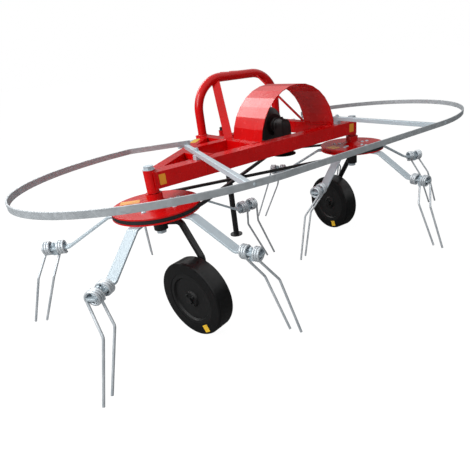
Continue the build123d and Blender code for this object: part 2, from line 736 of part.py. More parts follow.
def rotor_disc(side):
    """Pressed plate with a belt groove round its rim and a flange for the arms."""
    half = BELT_HEIGHT / 2 + BELT_FLANK_GAP
    bore = AXLE_RADIUS + RUNNING_GAP
    plate_under = PLATE_TOP - PLATE_THICKNESS
    outline = Polyline(
        (bore, BOSS_BOTTOM),
        (BOSS_RADIUS, BOSS_BOTTOM),
        (BOSS_RADIUS, RIM_BOTTOM),
        (FLANGE_RADIUS, RIM_BOTTOM),
        (FLANGE_RADIUS, RIM_BOTTOM + FLANGE_THICKNESS),
        (BOSS_RADIUS + 6, RIM_BOTTOM + FLANGE_THICKNESS),
        (BOSS_RADIUS + 6, plate_under),
        (RIM_BACK_RADIUS, plate_under),
        (RIM_BACK_RADIUS, RIM_BOTTOM),
        (RIM_RADIUS, RIM_BOTTOM),
        (RIM_RADIUS, BELT_LEVEL - half),
        (GROOVE_RADIUS, BELT_LEVEL - half + GROOVE_TAPER),
        (GROOVE_RADIUS, BELT_LEVEL + half - GROOVE_TAPER),
        (RIM_RADIUS, BELT_LEVEL + half),
        (RIM_RADIUS, PLATE_TOP),
        (BOSS_RADIUS + 24, PLATE_TOP),
        (BOSS_RADIUS, PLATE_TOP + 13),
        (BOSS_RADIUS, HUB_BOTTOM - RUN_GAP),
        (bore, HUB_BOTTOM - RUN_GAP),
        close=True,
    )
    disc = revolve(Plane.XZ * make_face(outline), axis=Axis.Z)
    return Pos(side * AXIS_X, 0, 0) * disc


def around_rotor(shape, side, rest_angle):
    """Copies of one arm's piece round a rotor; the right rotor is a mirror image."""
    if side > 0:
        shape = mirror(shape, about=Plane.XZ)
    step = 360 / ARM_COUNT
    copies = [Pos(side * AXIS_X, 0, 0) * Rot(0, 0, rest_angle + step * i) * shape for i in range(ARM_COUNT)]
    return group(copies)


def one_arm():
    """Flat bar bolted under the flange, bent down and level again through the coils."""
    top_level = RIM_BOTTOM - WELD_GAP - ARM_THICKNESS / 2
    line = FilletPolyline(
        (ARM_INNER_END, top_level),
        (ARM_SHOULDER, top_level),
        (ARM_FOOT, COIL_LEVEL),
        (ARM_TIP, COIL_LEVEL),
        radius=ARM_BEND_RADIUS,
    )
    section = trace(line, ARM_THICKNESS)
    plane = Plane(origin=(0, ARM_WIDTH / 2, 0), x_dir=(1, 0, 0), z_dir=(0, -1, 0))
    bar = extrude(plane * section, ARM_WIDTH)
    side, tip_side, end = ARM_WIDTH / 2, ARM_TIP_WIDTH / 2, ARM_TIP + ARM_WIDTH
    plan = [(0, -side), (ARM_FOOT, -side), (ARM_NECK, -tip_side), (end, -tip_side)]
    plan += [(x, -y) for x, y in reversed(plan)]
    return bar & extrude(make_face(Polyline(*plan, close=True)), top_level + ARM_WIDTH)


def across_arm(x, z=COIL_LEVEL, y=0.0):
    return Plane(origin=(x, y, z), x_dir=(0, 1, 0), z_dir=(1, 0, 0))


def coil(place):
    """Closely wound turns about the arm's end, as one many-sided ring with a groove between turns."""
    pitch = WIRE + TURN_GAP
    length = COIL_TURNS * pitch
    first = place - length / 2
    ring = extrude(across_arm(first) * RegularPolygon(COIL_OUTSIDE - COIL_GROOVE, COIL_SIDES), length)
    for turn in range(COIL_TURNS):
        crest = across_arm(first + (turn + 0.15) * pitch)
        ring += extrude(crest * RegularPolygon(COIL_OUTSIDE, COIL_SIDES), 0.7 * pitch)
    bore = RegularPolygon(COIL_BORE, COIL_SIDES, major_radius=False)
    return ring - extrude(across_arm(first - 1) * bore, length + 2)


def tine_leg(coil_place, knee_place, tip_place):
    """Wire from the coil's outer turn down to the knee and on to the tip."""
    run = sqrt(KNEE_SIDE ** 2 + (COIL_LEVEL - KNEE_LEVEL) ** 2)
    lean = atan2(KNEE_SIDE, COIL_LEVEL - KNEE_LEVEL) + asin(COIL_RADIUS / run)
    outer_turn = coil_place + WIRE + TURN_GAP
    start = Vector(outer_turn, -COIL_RADIUS * cos(lean), COIL_LEVEL - COIL_RADIUS * sin(lean))
    knee = Vector(knee_place, KNEE_SIDE, KNEE_LEVEL)
    tip = Vector(tip_place, TIP_SIDE, TIP_LEVEL)
    into = knee + (start - knee).normalized() * WIRE
    out = knee + (tip - knee).normalized() * WIRE
    plane = Plane(origin=start, z_dir=into - start)
    path = Polyline(start, into, out, tip)
    return sweep(plane * RegularPolygon(WIRE / 2, WIRE_SIDES), path=path, transition=Transition.RIGHT)


def double_tine():
    """Two coils, their legs and the bridge between the coils, as one spring."""
    spring = coil(COIL_INNER_PLACE) + coil(COIL_OUTER_PLACE)
    start = COIL_INNER_PLACE + WIRE
    bridge = across_arm(start, COIL_LEVEL - COIL_RADIUS) * RegularPolygon(WIRE / 2, WIRE_SIDES)
    spring += extrude(bridge, COIL_OUTER_PLACE - WIRE - start)
    spring += tine_leg(COIL_INNER_PLACE, KNEE_INNER_PLACE, TIP_INNER_PLACE)
    return spring + tine_leg(COIL_OUTER_PLACE, KNEE_OUTER_PLACE, TIP_OUTER_PLACE)


def tine_clamp():
    """Block that traps the bridge under the arm, with its bolt head on top."""
    middle = (COIL_INNER_PLACE + COIL_OUTER_PLACE) / 2
    top = COIL_LEVEL - ARM_THICKNESS / 2 - WELD_GAP
    bottom = COIL_LEVEL - COIL_RADIUS - WIRE / 2 - 1.5
    block = Pos(middle, 0, (top + bottom) / 2) * Box(CLAMP_WIDTH, CLAMP_WIDTH, top - bottom)
    wire_room = Rot(0, 90, 0) * Cylinder(WIRE / 2 + WELD_GAP, 4 * CLAMP_WIDTH)
    groove = Pos(middle, 0, COIL_LEVEL - COIL_RADIUS) * wire_room
    head_low = COIL_LEVEL + ARM_THICKNESS / 2 + WELD_GAP
    head = upright(CLAMP_HEAD_RADIUS, head_low, head_low + CLAMP_HEAD_HEIGHT, middle)
    return group([block - groove, head])


# Castors

def castor_frame(side, angle):
    """Places a castor piece: X along the trail, Y out towards the wheel."""
    def place(shape):
        if side < 0:
            shape = mirror(shape, about=Plane.XZ)
        return Pos(side * AXIS_X, 0, 0) * Rot(0, 0, angle) * shape
    return place


def castor_leg():
    """Swivel block, bent tube and wheel axle as one piece."""
    bore = upright(AXLE_RADIUS + RUNNING_GAP, CASTOR_BLOCK_BOTTOM - 1, CASTOR_BLOCK_TOP + 1)
    block = upright(CASTOR_BLOCK_RADIUS, CASTOR_BLOCK_BOTTOM, CASTOR_BLOCK_TOP)
    corners = [
        (4, -CASTOR_START, CASTOR_SHOULDER_LEVEL),
        (CASTOR_ELBOW, LEG_SIDE, CASTOR_SHOULDER_LEVEL),
        (CASTOR_KNEE, LEG_SIDE, CASTOR_KNEE_LEVEL),
        (TRAIL, LEG_SIDE, WHEEL_LEVEL),
    ]
    path = FilletPolyline(*corners, radius=30)
    plane = Plane(origin=corners[0], z_dir=Vector(*corners[1]) - Vector(*corners[0]))
    tube = sweep(plane * Circle(CASTOR_TUBE_RADIUS), path=path)
    start = LEG_SIDE - CASTOR_TUBE_RADIUS - 4
    hub_end = WHEEL_SIDE + HUB_SHELL_LENGTH / 2
    axle_plane = Plane(origin=(TRAIL, start, WHEEL_LEVEL), x_dir=(1, 0, 0), z_dir=(0, 1, 0))
    axle = extrude(axle_plane * Circle(WHEEL_AXLE_RADIUS), hub_end + 10 - start)
    boss = extrude(axle_plane * Circle(CASTOR_TUBE_RADIUS + 4), 2 * CASTOR_TUBE_RADIUS + 6)
    cap_plane = Plane(origin=(TRAIL, hub_end + 1, WHEEL_LEVEL), x_dir=(1, 0, 0), z_dir=(0, 1, 0))
    cap = extrude(cap_plane * RegularPolygon(WHEEL_AXLE_RADIUS + 5, 6), 9)
    return block + tube + axle + boss + cap - bore


def wheel_place(shape):
    return Pos(TRAIL, WHEEL_SIDE, WHEEL_LEVEL) * shape


def turned_wheel(outline):
    """Ring about the wheel's axle from its half section: places along the axle and radii."""
    upright_plane = Plane(origin=(0, 0, 0), x_dir=(0, 1, 0), z_dir=(1, 0, 0))
    section = upright_plane * make_face(Polyline(*outline, close=True))
    return wheel_place(revolve(section, axis=Axis.Y))


def tyre():
    """Plain solid tyre with nearly square shoulders."""
    half = WHEEL_WIDTH / 2
    side = [
        (half - 1, WHEEL_RADIUS - TYRE_DEPTH),
        (half, WHEEL_RADIUS - TYRE_DEPTH + 3),
        (half, WHEEL_RADIUS - 7),
        (half - 2, WHEEL_RADIUS - 2),
        (half - 7, WHEEL_RADIUS),
    ]
    return turned_wheel(side + [(-x, r) for x, r in reversed(side)])


def wheel_rim():
    """Moulded centre, its faces a little inside the tyre's, with a shallow round recess."""
    seat = WHEEL_RADIUS - TYRE_DEPTH - WELD_GAP
    face = WHEEL_WIDTH / 2 - RIM_FACE_INSET
    hub_half = HUB_SHELL_LENGTH / 2
    side = [
        (hub_half, WHEEL_AXLE_RADIUS + RUNNING_GAP),
        (hub_half, HUB_SHELL_RADIUS),
        (face - RIM_RECESS, HUB_SHELL_RADIUS + 4),
        (face - RIM_RECESS, RIM_RECESS_RADIUS - 4),
        (face, RIM_RECESS_RADIUS),
        (face, seat),
    ]
    return turned_wheel(side + [(-x, r) for x, r in reversed(side)])


# Parking stand

def stand_sleeve():
    """Clamp tube on the rear crossbar, with its locking screw."""
    sleeve = upright(STAND_SLEEVE_RADIUS, STAND_SLEEVE_BOTTOM, STAND_SLEEVE_TOP, STAND_X, STAND_PLACE)
    level = (STAND_SLEEVE_BOTTOM + STAND_SLEEVE_TOP) / 2
    start = (STAND_X, STAND_PLACE + STAND_RADIUS + 2, level)
    plane = Plane(origin=start, x_dir=(1, 0, 0), z_dir=(0, 1, 0))
    screw = extrude(plane * Circle(STAND_SCREW_RADIUS), STAND_SCREW_LENGTH)
    bar = Rot(0, 90, 0) * Cylinder(STAND_BAR_RADIUS, STAND_BAR_LENGTH)
    bar = Pos(STAND_X, start[1] + STAND_SCREW_LENGTH, level) * bar
    low, high = STAND_SLEEVE_BOTTOM - 1, STAND_SLEEVE_TOP + 1
    bore = upright(STAND_RADIUS + RUNNING_GAP, low, high, STAND_X, STAND_PLACE)
    return sleeve + screw + bar - bore


def stand_leg():
    tube = upright(STAND_RADIUS, STAND_FOOT_THICKNESS / 2, STAND_TOP, STAND_X, STAND_PLACE)
    tube -= upright(STAND_RADIUS - 3, STAND_FOOT_THICKNESS, STAND_TOP + 1, STAND_X, STAND_PLACE)
    return tube + upright(STAND_FOOT_RADIUS, 0, STAND_FOOT_THICKNESS, STAND_X, STAND_PLACE)


def main():
    os.makedirs("parts", exist_ok=True)
    save(front_beam(), "front_beam")
    save(rail(RAIL_LEFT_X), "rail_left")
    save(rail(RAIL_RIGHT_X), "rail_right")
    save(mid_crossbar(), "mid_crossbar")
    save(cross_stub(), "cross_stub")
    save(rear_crossbar(), "rear_crossbar")
    save(hitch_tower(), "hitch_tower")
    save(top_link_lugs(), "top_link_lugs")
    save(gearbox_plate(), "gearbox_plate")
    save(gearbox(), "gearbox")
    save(pto_cone(), "pto_cone")
    save(pto_stub(), "pto_stub")
    save(drive_pulley(), "drive_pulley")
    save(drive_guard(), "drive_guard")
    save(drive_belt(), "drive_belt")
    save(guard_hoop(), "guard_hoop")
    save(stand_sleeve(), "stand_sleeve")
    save(stand_leg(), "stand_leg")
    arm, tine, clamp = one_arm(), double_tine(), tine_clamp()
    leg, tyre_ring, rim = castor_leg(), tyre(), wheel_rim()
    for name, (side, rest_angle, castor_angle) in SIDES.items():
        save(hub_tube(side), f"hub_{name}")
        save(brace(side), f"brace_{name}")
        save(tower_strap(*STRAPS[name]), f"tower_strap_{name}")
        save(lower_pin(side), f"lower_link_pin_{name}")
        save(hoop_strut(side), f"hoop_strut_{name}")
        save(strut_bolt(STRUT_LEFT_X if side < 0 else STRUT_RIGHT_X), f"strut_bolt_{name}")
        save(axle_pin(side), f"axle_{name}")
        save(rotor_disc(side), f"rotor_disc_{name}")
        save(around_rotor(arm, side, rest_angle), f"arms_{name}")
        save(around_rotor(tine, side, rest_angle), f"tines_{name}")
        save(around_rotor(clamp, side, rest_angle), f"tine_clamps_{name}")
        place = castor_frame(side, castor_angle)
        save(place(leg), f"castor_leg_{name}")
        save(place(tyre_ring), f"tyre_{name}")
        save(place(rim), f"wheel_rim_{name}")


main()
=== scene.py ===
import json
import math

import bmesh
import bpy
from mathutils import Matrix, Vector


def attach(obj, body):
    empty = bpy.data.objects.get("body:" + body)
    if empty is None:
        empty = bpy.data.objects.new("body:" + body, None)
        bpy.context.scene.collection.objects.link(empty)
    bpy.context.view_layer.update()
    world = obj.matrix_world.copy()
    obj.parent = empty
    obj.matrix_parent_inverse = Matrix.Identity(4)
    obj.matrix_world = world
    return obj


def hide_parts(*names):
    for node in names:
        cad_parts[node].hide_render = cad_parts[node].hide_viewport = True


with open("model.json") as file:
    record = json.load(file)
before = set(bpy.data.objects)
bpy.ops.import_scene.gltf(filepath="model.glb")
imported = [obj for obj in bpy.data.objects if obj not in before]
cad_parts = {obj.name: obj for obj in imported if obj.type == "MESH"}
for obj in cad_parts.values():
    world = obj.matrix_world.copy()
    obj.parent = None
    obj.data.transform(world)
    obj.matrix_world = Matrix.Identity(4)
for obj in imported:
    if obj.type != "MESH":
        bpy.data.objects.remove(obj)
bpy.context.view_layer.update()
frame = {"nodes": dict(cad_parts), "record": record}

# Metres in a millimetre
MM = 0.001

# Directions
UP, DOWN = (0, 0, 1), (0, 0, -1)
FRONT, REAR = (0, -1, 0), (0, 1, 0)

# Sizes in millimetres. X counts from half way between the rotor axes, and finish_mesh moves each piece over
# to the frame's origin.
REACH_CENTRE = 25.45

# Rotors: distance of the axes from the middle, each side's sign and its first arm's angle at rest, then the
# levels of the disc's top and of the arms' middle and underside near it
AXIS_X = 560.0
SIDES = {"left": (-1, 143.9), "right": (1, 197.0)}
ARM_COUNT = 5
DISC_TOP = 497.0
ARM_LEVEL = 467.7
ARM_UNDER = 463.7
ARM_HALF_THICKNESS = 4
TINE_BOLT_RADIUS = 406

# Spring tines: level, radius, pitch and turning angle of the coils, and the wire's radius
COIL_LEVEL = 369.0
COIL_RADIUS = 22.0
COIL_PITCH = 9.2
COIL_TURN = 1020.0
WIRE_RADIUS = 4.5

# Frame: the front beam's top and half its width, then the middles of the rails, the stub and the crossbars,
# all of one width, and those of the hitch, its pins and the parking stand
BEAM_TOP = 615
BEAM_HALF = 30
RAILS_X = (-46, 454)
RAIL_HALF = 25
STUB_X = -295
MID_BAR_Y = 241
CROSSBAR_Y = 459
CROSSBAR_TOP = 590
HITCH_X = 204
PIN_Y = 462
PIN_LEVEL = 585
STAND_X = 110

# Gearbox: its middle, the level of its foot and that of the input shaft
GEARBOX_Y = 135
GEARBOX_SEAT = 566.4
SHAFT_LEVEL = 640

# Guard hoop: lower and upper edge of the strip and of the struts, then each strut's X at the beam, its angle
# and the Y of its ends
STRIP_LOW = 644.0
STRIP_HIGH = 664.0
STRUT_LOW = 632.0
STRUT_TOP = 650.0
STRUTS = {"left": (-359, 16.2, -550.4, 152.4), "right": (447, 1.0, -557.3, 243.2)}


# Colours

def linear(code):
    """Linear colour from an sRGB hex value."""
    channels = [int(code[i:i + 2], 16) / 255 for i in (1, 3, 5)]
    return tuple(c / 12.92 if c <= 0.04045 else ((c + 0.055) / 1.055) ** 2.4 for c in channels) + (1.0,)


# Materials

def add(tree, kind, inputs=(), **settings):
    """Adds a node; an input's value is a number, a colour or another node's output."""
    made = tree.nodes.new(kind)
    for name, value in settings.items():
        setattr(made, name, value)
    for name, value in dict(inputs).items():
        socket = made.inputs[name]
        if isinstance(value, bpy.types.NodeSocket):
            tree.links.new(value, socket)
        else:
            socket.default_value = value
    return made


def new_material(name):
    """Material with an empty node tree."""
    material = bpy.data.materials.new(name)
    material.use_nodes = True
    material.node_tree.nodes.clear()
    return material, material.node_tree


def place_mm(tree):
    """Object coordinates in millimetres."""
    coordinates = add(tree, "ShaderNodeTexCoord")
    return add(tree, "ShaderNodeMapping", {
        "Vector": coordinates.outputs["Object"], "Scale": (1 / MM, 1 / MM, 1 / MM),
    }).outputs[0]


def noise(tree, where, size_mm, detail):
    """Noise whose lumps are about size_mm across."""
    return add(tree, "ShaderNodeTexNoise", {
        "Vector": where, "Scale": 1 / size_mm, "Detail": detail, "Roughness": 0.55,
    }).outputs["Fac"]


def spread(tree, value, low, high, to_low, to_high):
    """Maps a value from one range to another, clamped."""
    return add(tree, "ShaderNodeMapRange", {
        "Value": value, "From Min": low, "From Max": high, "To Min": to_low, "To Max": to_high,
    }).outputs["Result"]


def blend(tree, share, first, second):
    """Colour between first and second."""
    mix = add(tree, "ShaderNodeMix", data_type="RGBA")
    for socket, value in ((mix.inputs[0], share), (mix.inputs[6], first), (mix.inputs[7], second)):
        if isinstance(value, bpy.types.NodeSocket):
            tree.links.new(value, socket)
        else:
            socket.default_value = value
    return mix.outputs[2]


def bump(tree, height, strength, distance_mm, below=None):
    """Normal bent by a height, over another bump where below is given."""
    inputs = {"Height": height, "Strength": strength, "Distance": distance_mm * MM}
    if below is not None:
        inputs["Normal"] = below
    return add(tree, "ShaderNodeBump", inputs).outputs["Normal"]


def finish_material(tree, sockets):
    """Adds the shader with its sockets set, and the output."""
    shader = add(tree, "ShaderNodeBsdfPrincipled", sockets)
    add(tree, "ShaderNodeOutputMaterial", {"Surface": shader.outputs[0]})


def red_enamel():
    """Sprayed gloss enamel on steel: deep even red, long shallow waves in the coat, duller under dust."""
    material, tree = new_material("red_enamel")
    where = place_mm(tree)
    dust = spread(tree, noise(tree, where, 90, 4), 0.4, 0.7, 0, 1)
    colour = blend(tree, dust, linear("#CC0305"), linear("#BD0305"))
    skin = bump(tree, noise(tree, where, 28, 1), 0.05, 0.8)
    rough = spread(tree, noise(tree, where, 40, 3), 0.35, 0.7, 0.22, 0.3)
    finish_material(tree, {
        "Base Color": colour, "Roughness": rough, "Normal": skin,
        "IOR": 1.4, "Specular IOR Level": 0.4, "Coat Weight": 0.2, "Coat Roughness": 0.1,
    })
    return material


def black_enamel():
    """Thin black enamel on tube and pressed steel: near black, a soft sheen and small runs in the coat."""
    material, tree = new_material("black_enamel")
    where = place_mm(tree)
    worn = spread(tree, noise(tree, where, 35, 5), 0.55, 0.8, 0, 1)
    colour = blend(tree, worn, linear("#0F1012"), linear("#1C1D20"))
    skin = bump(tree, noise(tree, where, 3.2, 3), 0.12, 0.3)
    rough = spread(tree, noise(tree, where, 22, 4), 0.3, 0.7, 0.3, 0.46)
    finish_material(tree, {
        "Base Color": colour, "Roughness": rough, "Normal": skin,
        "IOR": 1.5, "Coat Weight": 0.25, "Coat Roughness": 0.2,
    })
    return material


def bright_zinc():
    """Electroplated zinc on flat bar and tube: smooth blue-white metal with faint cloudy patches."""
    material, tree = new_material("bright_zinc")
    where = place_mm(tree)
    cloud = spread(tree, noise(tree, where, 40, 2), 0.35, 0.7, 0, 1)
    colour = blend(tree, cloud, linear("#BDCAD1"), linear("#B7C4CC"))
    rough = spread(tree, noise(tree, where, 40, 2), 0.3, 0.7, 0.4, 0.45)
    finish_material(tree, {"Base Color": colour, "Metallic": 0.3, "Roughness": rough})
    return material


def drawn_wire():
    """Zinc-plated spring wire: smooth and bright, with a darker film in patches."""
    material, tree = new_material("drawn_wire")
    where = place_mm(tree)
    film = spread(tree, noise(tree, where, 60, 3), 0.35, 0.7, 0, 1)
    colour = blend(tree, film, linear("#D5DBDF"), linear("#B9C1C7"))
    skin = bump(tree, noise(tree, where, 12, 2), 0.02, 0.1)
    rough = spread(tree, noise(tree, where, 25, 3), 0.3, 0.7, 0.4, 0.48)
    finish_material(tree, {"Base Color": colour, "Metallic": 0.5, "Roughness": rough, "Normal": skin})
    return material


def hot_dip_strip():
    """Hot-dip galvanised strip: grey metal with flat spangles 8 to 15 mm across and dull streaks."""
    material, tree = new_material("hot_dip_strip")
    where = place_mm(tree)
    crystal = add(tree, "ShaderNodeTexVoronoi", {"Vector": where, "Scale": 1 / 11.0, "Randomness": 1.0})
    grain = add(tree, "ShaderNodeSeparateColor", {"Color": crystal.outputs["Color"]}).outputs[0]
    base = blend(tree, grain, linear("#A8AEB2"), linear("#B6BCC0"))
    dull = spread(tree, noise(tree, where, 45, 5), 0.42, 0.72, 0, 0.7)
    colour = blend(tree, dull, base, linear("#A0A6AA"))
    rough = spread(tree, grain, 0, 1, 0.36, 0.52)
    skin = bump(tree, noise(tree, where, 2.2, 3), 0.12, 0.15)
    finish_material(tree, {"Base Color": colour, "Metallic": 0.25, "Roughness": rough, "Normal": skin})
    return material


def cast_iron():
    """Sand-cast iron under thin black paint: coarse pitted skin with little gloss."""
    material, tree = new_material("cast_iron")
    where = place_mm(tree)
    colour = blend(tree, noise(tree, where, 14, 5), linear("#0A0B0C"), linear("#131416"))
    skin = bump(tree, noise(tree, where, 1.8, 5), 0.3, 0.5)
    rough = spread(tree, noise(tree, where, 6, 3), 0.3, 0.7, 0.5, 0.68)
    finish_material(tree, {"Base Color": colour, "Roughness": rough, "Normal": skin, "IOR": 1.5})
    return material


def machined_steel():
    """Turned and milled shaft steel: grey metal with a fine tool grain and an oily film."""
    material, tree = new_material("machined_steel")
    where = place_mm(tree)
    film = noise(tree, where, 18, 3)
    colour = blend(tree, film, linear("#8D9093"), linear("#A7A9AB"))
    rough = spread(tree, film, 0.3, 0.7, 0.24, 0.4)
    skin = bump(tree, noise(tree, where, 0.9, 2), 0.1, 0.08)
    finish_material(tree, {"Base Color": colour, "Metallic": 1.0, "Roughness": rough, "Normal": skin})
    return material


def moulded_rubber():
    """Solid tyre rubber from a steel mould: near black, faint bloom, fine grain that spreads highlights."""
    material, tree = new_material("moulded_rubber")
    where = place_mm(tree)
    bloom = spread(tree, noise(tree, where, 30, 5), 0.45, 0.75, 0, 0.6)
    colour = blend(tree, bloom, linear("#060708"), linear("#0D0E10"))
    grain = bump(tree, noise(tree, where, 1.5, 4), 0.12, 0.25)
    scuff = bump(tree, noise(tree, where, 9, 3), 0.18, 0.6, grain)
    rough = spread(tree, noise(tree, where, 12, 3), 0.3, 0.7, 0.28, 0.42)
    finish_material(tree, {"Base Color": colour, "Roughness": rough, "Normal": scuff, "IOR": 1.45})
    return material


def belt_rubber():
    """Wrapped V-belt: matt black with the cover cloth's weave, drawn 1.6 mm wide so that it shows."""
    material, tree = new_material("belt_rubber")
    where = place_mm(tree)
    weave = add(tree, "ShaderNodeTexWave", {
        "Vector": where, "Scale": 0.2, "Distortion": 1.0, "Detail": 2.0,
    }, bands_direction="DIAGONAL").outputs["Fac"]
    colour = blend(tree, noise(tree, where, 20, 4), linear("#0E0F10"), linear("#1C1D1F"))
    skin = bump(tree, weave, 0.2, 0.3)
    finish_material(tree, {"Base Color": colour, "Roughness": 0.62, "Normal": skin, "IOR": 1.5})
    return material


def moulded_plastic():
    """Black polyethylene shield, rotation moulded: satin, slightly wavy, greyed a little by handling."""
    material, tree = new_material("moulded_plastic")
    where = place_mm(tree)
    colour = blend(tree, noise(tree, where, 24, 4), linear("#0A0B0C"), linear("#121314"))
    pits = noise(tree, where, 2.0, 4)
    waves = bump(tree, noise(tree, where, 30, 1), 0.1, 1.0)
    skin = bump(tree, pits, 0.18, 0.3, waves)
    rough = spread(tree, noise(tree, where, 15, 3), 0.3, 0.7, 0.42, 0.56)
    finish_material(tree, {"Base Color": colour, "Roughness": rough, "Normal": skin, "IOR": 1.5})
    return material


def vinyl(name, code):
    """Vinyl square with nothing on it: flat colour under a clear skin, slightly dusty in patches."""
    material, tree = new_material(name)
    where = place_mm(tree)
    dusty = tuple(0.86 * c for c in linear(code)[:3]) + (1.0,)
    colour = blend(tree, noise(tree, where, 8, 3), linear(code), dusty)
    skin = bump(tree, noise(tree, where, 5, 2), 0.1, 0.1)
    finish_material(tree, {
        "Base Color": colour, "Roughness": 0.34, "Normal": skin,
        "IOR": 1.5, "Coat Weight": 0.3, "Coat Roughness": 0.12,
    })
    return material


ENAMEL = red_enamel()
BLACK = black_enamel()
ZINC = bright_zinc()
WIRE = drawn_wire()
STRIP = hot_dip_strip()
IRON = cast_iron()
STEEL = machined_steel()
RUBBER = moulded_rubber()
BELT = belt_rubber()
PLASTIC = moulded_plastic()
ORANGE = vinyl("orange_vinyl", "#F2A51F")
YELLOW = vinyl("yellow_vinyl", "#F2C32A")


# Mesh helpers, all in millimetres

def finish_mesh(work, name, material, body, smooth, bevel=0.0):
    """Turns a bmesh in millimetres into a piece that rides on a body."""
    bmesh.ops.translate(work, vec=(-REACH_CENTRE, 0, 0), verts=work.verts)
    bmesh.ops.scale(work, vec=(MM, MM, MM), verts=work.verts)
    mesh = bpy.data.meshes.new(name)
    work.to_mesh(mesh)
    work.free()
    mesh.materials.append(material)
    piece = bpy.data.objects.new(name, mesh)
    bpy.context.scene.collection.objects.link(piece)
    soften(piece, smooth, bevel)
    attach(piece, body)
    return piece


def soften(piece, smooth, bevel):
    """Rounds the edges sharper than 38 degrees, and shades smooth what bends less than smooth."""
    if bevel:
        rounding = piece.modifiers.new("edge_rounding", "BEVEL")
        rounding.width = bevel * MM
        rounding.segments = 2
        rounding.limit_method = "ANGLE"
        rounding.angle_limit = math.radians(38)
        rounding.use_clamp_overlap = True
    mesh = piece.data
    mesh.polygons.foreach_set("use_smooth", [True] * len(mesh.polygons))
    limit = math.radians(smooth)
    work = bmesh.new()
    work.from_mesh(mesh)
    for edge in work.edges:
        edge.smooth = len(edge.link_faces) == 2 and edge.calc_face_angle(0) < limit
    work.to_mesh(mesh)
    work.free()


def polar(radius, degrees):
    """Flat point at a distance and an angle."""
    angle = math.radians(degrees)
    return radius * math.cos(angle), radius * math.sin(angle)


def rounded_rectangle(half_x, half_y, radius, steps):
    """Flat points round a rectangle, with steps in each rounded corner."""
    outline = []
    for sx, sy, start in ((1, 1, 0), (-1, 1, 90), (-1, -1, 180), (1, -1, 270)):
        for k in range(steps + 1):
            a, b = polar(radius, start + 90 / steps * k)
            outline.append((sx * (half_x - radius) + a, sy * (half_y - radius) + b))
    return outline


def directions(points):
    """Unit direction of a line of points at each of them."""
    last = len(points) - 1
    return [(points[min(i + 1, last)] - points[max(i - 1, 0)]).normalized() for i in range(last + 1)]


def circle(middle, first, second, radius, sides):
    """Points of a circle about middle, from the direction first over to second."""
    points = []
    for k in range(sides):
        angle = 2 * math.pi * k / sides
        points.append(middle + (first * math.cos(angle) + second * math.sin(angle)) * radius)
    return points


def skin_rings(work, rings, flip=False):
    """Walls between rings of as many points each, closed at both ends; flip turns the faces over."""
    rings = [[work.verts.new(p) for p in ring] for ring in rings]
    for near, far in zip(rings, rings[1:]):
        for k in range(len(near)):
            n = (k + 1) % len(near)
            if flip:
                work.faces.new((near[k], far[k], far[n], near[n]))
            else:
                work.faces.new((near[k], near[n], far[n], far[k]))
    first, last = (rings[-1], rings[0]) if flip else (rings[0], rings[-1])
    work.faces.new(list(reversed(first)))
    work.faces.new(last)


def sweep_wire(work, points, radius, sides, ripple=None):
    """Closed round bar along points; ripple gives each ring's share of the radius."""
    runs = directions(points)
    normal = runs[0].orthogonal().normalized()
    rings = []
    for i, (point, run) in enumerate(zip(points, runs)):
        normal = (normal - run * normal.dot(run)).normalized()
        size = radius * (ripple(i) if ripple else 1.0)
        rings.append(circle(point, normal, run.cross(normal), size, sides))
    skin_rings(work, rings)


def lathe(work, profile, centre, axis, sides):
    """Turned form: profile is pairs of radius and distance along the axis."""
    axis = Vector(axis).normalized()
    across = axis.orthogonal().normalized()
    third = axis.cross(across)
    rings = []
    for radius, along in profile:
        middle = Vector(centre) + axis * along
        points = circle(middle, across, third, radius, sides) if radius else [middle]
        rings.append([work.verts.new(p) for p in points])
    for low, high in zip(rings, rings[1:]):
        for k in range(sides):
            n = (k + 1) % sides
            corners = [low[k % len(low)], low[n % len(low)], high[n % len(high)], high[k % len(high)]]
            unique = list(dict.fromkeys(corners))
            if len(unique) > 2:
                work.faces.new(unique)


def hex_head(work, centre, axis, flats, height, washer):
    """Bolt head on a washer, seated at centre and standing along axis."""
    seat = 2.2
    disc = [(0, 0), (washer, 0), (washer, seat - 0.5), (washer - 0.5, seat), (0, seat)]
    lathe(work, disc, centre, axis, 28)
    corner = flats / math.sqrt(3)
    top = seat + height
    head = [(0, 2.0), (corner, 2.0), (corner, seat + height * 0.86), (corner * 0.9, top), (0, top)]
    lathe(work, head, centre, axis, 6)


def smooth_corner(a, b, c, radius, steps=7):
    """Points of the arc that rounds corner b between a and c."""
    back = (a - b).normalized()
    ahead = (c - b).normalized()
    half = back.angle(ahead) / 2
    reach = radius / math.tan(half)
    centre = b + (back + ahead).normalized() * (radius / math.sin(half))
    first = b + back * reach - centre
    last = b + ahead * reach - centre
    whole = first.angle(last)
    points = []
    for i in range(steps + 1):
        t = i / steps
        mix = (first * math.sin((1 - t) * whole) + last * math.sin(t * whole)) / math.sin(whole)
        points.append(centre + mix)
    return points


# Rotors

def rotor_place(points, side_name, arm):
    """Points of one arm, put round a rotor; the right rotor is a mirror image."""
    side, rest = SIDES[side_name]
    if side > 0:
        points = [Vector((p.x, -p.y, p.z)) for p in points]
    spin = Matrix.Rotation(math.radians(rest + 360 / ARM_COUNT * arm), 3, "Z")
    return [spin @ p + Vector((side * AXIS_X, 0, 0)) for p in points]


def tine_leg(start, knee, tip):
    """Points from the coil down over the knee to the tip, dense enough near the bends."""
    points = [start, start.lerp(knee, 0.4)]
    points += smooth_corner(start, knee, tip, 24)
    points += [knee.lerp(tip, 0.5), tip.lerp(knee, 0.012), tip]
    return points


